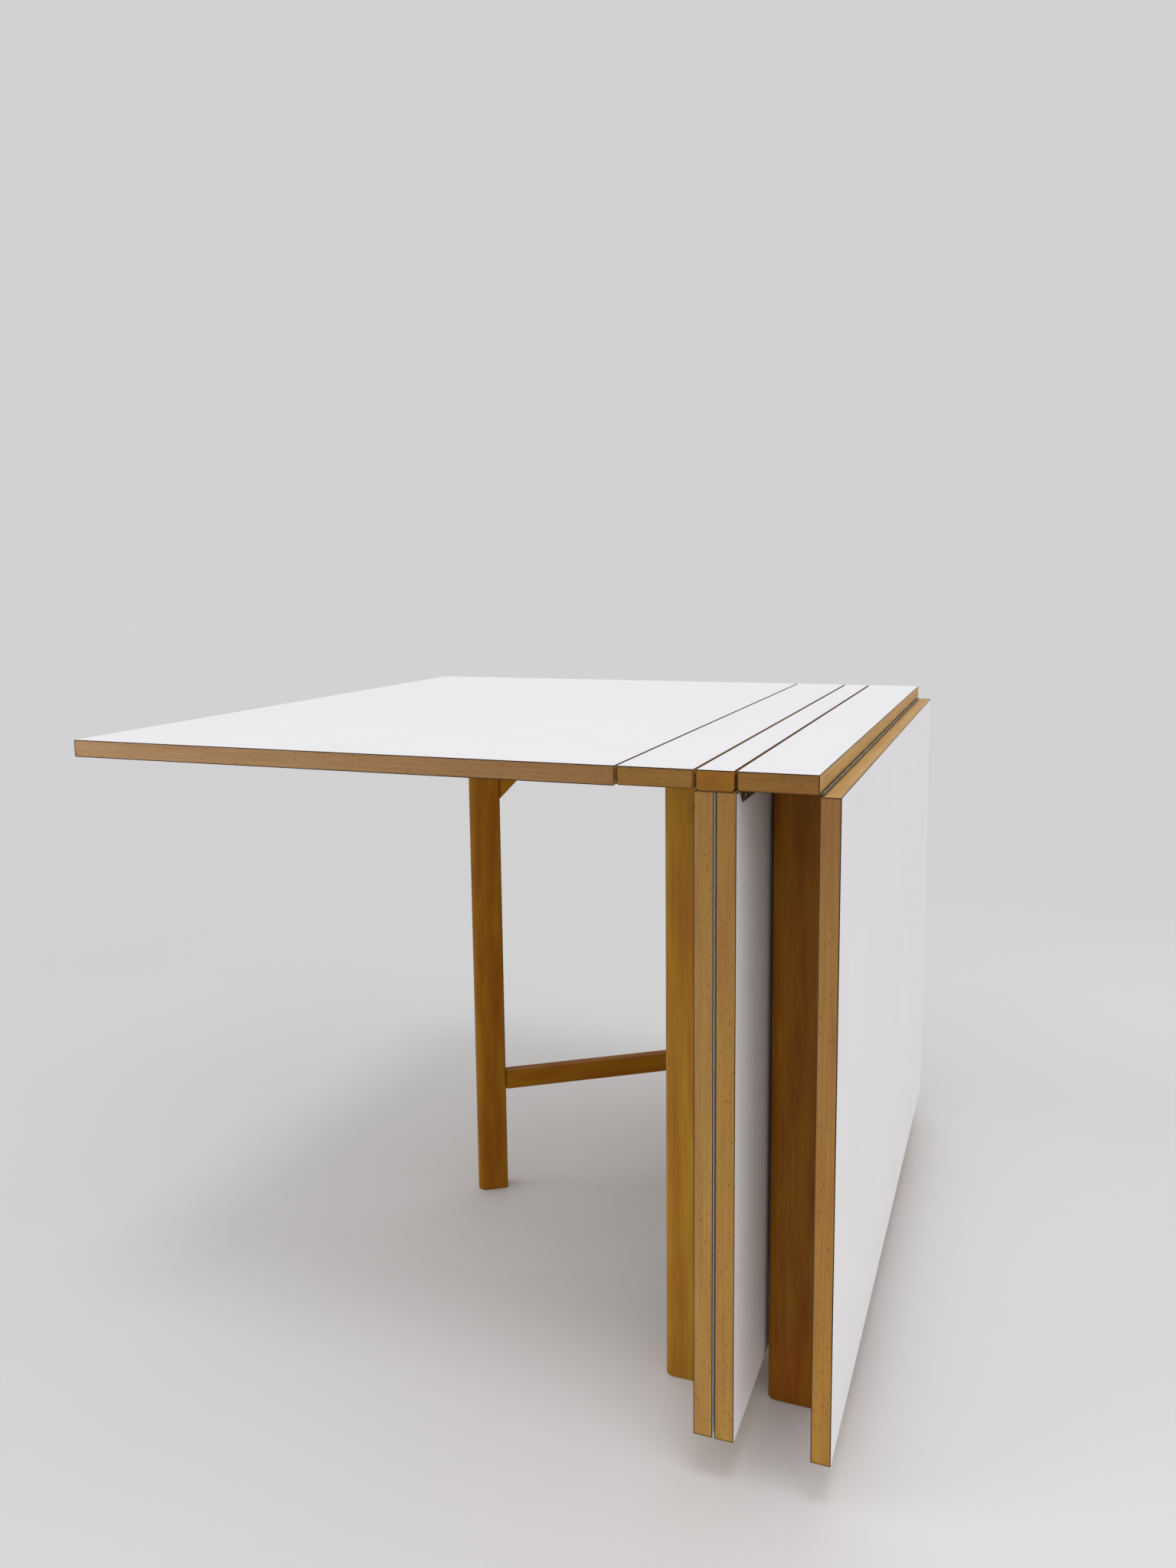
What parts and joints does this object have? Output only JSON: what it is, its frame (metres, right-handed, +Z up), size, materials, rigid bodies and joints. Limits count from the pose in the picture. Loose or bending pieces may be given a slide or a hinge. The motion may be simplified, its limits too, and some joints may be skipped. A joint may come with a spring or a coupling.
{
  "type": "folding dining table",
  "caption": "Folding dining table with white laminate leaves hinged to beech trestles; a swinging gate leg carries the raised leaf while the other leaves hang folded.",
  "frame": {"origin": "middle of the bounding box, on the floor, with the left outer leaf up", "axes": "+X along the table to the right, +Y across it to the rear, +Z up"},
  "size_m": [0.8634, 0.9, 0.7167],
  "materials": {
    "white_laminate": "satin white laminate",
    "core_board": "raw chipboard, hidden",
    "beech_lipping": "satin lacquered beech",
    "beech_leg": "satin lacquered beech",
    "beech_rail": "satin lacquered beech",
    "hinge_steel": "dull steel strip"
  },
  "bodies": {
    "right_trestle": {"right_front_leg": "beech_leg", "right_rear_leg": "beech_leg", "right_top_rail": "beech_rail", "right_low_rail": "beech_rail", "right_strip_core": "core_board", "right_strip_lipping": "beech_lipping", "right_strip_laminate": "white_laminate", "right_outer_hinge_strip_plate": "hinge_steel", "right_outer_hinge_pin": "hinge_steel", "right_inner_hinge_strip_plate": "hinge_steel", "right_inner_hinge_pin": "hinge_steel"},
    "right_outer_leaf": {"right_outer_leaf_core": "core_board", "right_outer_leaf_lipping": "beech_lipping", "right_outer_leaf_top_laminate": "white_laminate", "right_outer_leaf_under_laminate": "white_laminate", "right_outer_hinge_leaf_plate": "hinge_steel"},
    "right_inner_leaf": {"right_inner_leaf_core": "core_board", "right_inner_leaf_lipping": "beech_lipping", "right_inner_leaf_top_laminate": "white_laminate", "right_inner_leaf_under_laminate": "white_laminate", "right_inner_hinge_leaf_plate": "hinge_steel"},
    "left_inner_leaf": {"left_inner_leaf_core": "core_board", "left_inner_leaf_lipping": "beech_lipping", "left_inner_leaf_top_laminate": "white_laminate", "left_inner_leaf_under_laminate": "white_laminate", "left_inner_hinge_leaf_plate": "hinge_steel"},
    "left_trestle": {"left_front_leg": "beech_leg", "left_rear_leg": "beech_leg", "left_top_rail": "beech_rail", "left_low_rail": "beech_rail", "left_strip_core": "core_board", "left_strip_lipping": "beech_lipping", "left_strip_laminate": "white_laminate", "left_outer_hinge_strip_plate": "hinge_steel", "left_outer_hinge_pin": "hinge_steel", "left_inner_hinge_strip_plate": "hinge_steel", "left_inner_hinge_pin": "hinge_steel"},
    "left_outer_leaf": {"left_outer_leaf_core": "core_board", "left_outer_leaf_lipping": "beech_lipping", "left_outer_leaf_top_laminate": "white_laminate", "left_outer_leaf_under_laminate": "white_laminate", "left_outer_hinge_leaf_plate": "hinge_steel"},
    "right_outer_gate": {"right_outer_gate_leg": "beech_leg", "right_outer_gate_post": "beech_leg", "right_outer_gate_top_rail": "beech_rail", "right_outer_gate_stretcher": "beech_rail"},
    "right_inner_gate": {"right_inner_gate_leg": "beech_leg", "right_inner_gate_post": "beech_leg", "right_inner_gate_top_rail": "beech_rail", "right_inner_gate_stretcher": "beech_rail"},
    "left_inner_gate": {"left_inner_gate_leg": "beech_leg", "left_inner_gate_post": "beech_leg", "left_inner_gate_top_rail": "beech_rail", "left_inner_gate_stretcher": "beech_rail"},
    "left_outer_gate": {"left_outer_gate_leg": "beech_leg", "left_outer_gate_post": "beech_leg", "left_outer_gate_top_rail": "beech_rail", "left_outer_gate_stretcher": "beech_rail"},
    "centre_strip": {"centre_strip_body": "beech_lipping", "centre_strip_laminate": "white_laminate"}
  },
  "joints": [
    {"name": "right_outer_leaf_raise", "type": "hinge", "parent": "right_trestle", "child": "right_outer_leaf", "pos_m": [0.41325, 0, 0.6982], "axis": [0, -1, 0], "range_deg": [0, 90]},
    {"name": "middle_open", "type": "hinge", "parent": "right_trestle", "child": "right_inner_leaf", "pos_m": [0.33585, 0, 0.6982], "axis": [0, 1, 0], "range_deg": [0, 90]},
    {"name": "inner_leaves_unfold", "type": "hinge", "parent": "right_inner_leaf", "child": "left_inner_leaf", "pos_m": [0.31635, 0, 0.0464], "axis": [0, -1, 0], "range_deg": [0, 180]},
    {"name": "left_inner_leaf_hinge", "type": "hinge", "parent": "left_inner_leaf", "child": "left_trestle", "pos_m": [0.29685, 0, 0.6982], "axis": [0, 1, 0], "range_deg": [0, 90]},
    {"name": "centre_strip_lift", "type": "slide", "parent": "right_trestle", "child": "centre_strip", "axis": [-0.9995, 0, 0.0311], "range_m": [0, 0.6331]},
    {"name": "left_outer_gate_swing", "type": "hinge", "parent": "left_trestle", "child": "left_outer_gate", "pos_m": [0.23665, 0.262, 0], "axis": [0, 0, 1], "range_deg": [0, 55.7]},
    {"name": "left_outer_leaf_drop", "type": "hinge", "parent": "left_trestle", "child": "left_outer_leaf", "pos_m": [0.21945, 0, 0.6982], "axis": [0, -1, 0], "range_deg": [0, 90]},
    {"name": "right_outer_gate_swing", "type": "hinge", "parent": "right_trestle", "child": "right_outer_gate", "pos_m": [0.39605, -0.262, 0], "axis": [0, 0, -1], "range_deg": [0, 55.7]},
    {"name": "right_inner_gate_swing", "type": "hinge", "parent": "right_trestle", "child": "right_inner_gate", "pos_m": [0.35305, 0.262, 0], "axis": [0, 0, -1], "range_deg": [0, 55.7]},
    {"name": "left_inner_gate_swing", "type": "hinge", "parent": "left_trestle", "child": "left_inner_gate", "pos_m": [0.27965, -0.262, 0], "axis": [0, 0, -1], "range_deg": [0, 55.7]}
  ],
  "couplings": [
    {"joint": "inner_leaves_unfold", "follows": "middle_open", "ratio": 2},
    {"joint": "left_inner_leaf_hinge", "follows": "middle_open", "ratio": 1},
    {"joint": "centre_strip_lift", "follows": "middle_open", "m_per_rad": 0.40273},
    {"joint": "right_inner_gate_swing", "follows": "middle_open", "ratio": 0.001},
    {"joint": "left_inner_gate_swing", "follows": "middle_open", "ratio": 0.001},
    {"joint": "left_outer_leaf_drop", "follows": "left_outer_gate_swing", "ratio": 0.001},
    {"joint": "right_outer_gate_swing", "follows": "right_outer_leaf_raise", "ratio": 0.001}
  ]
}
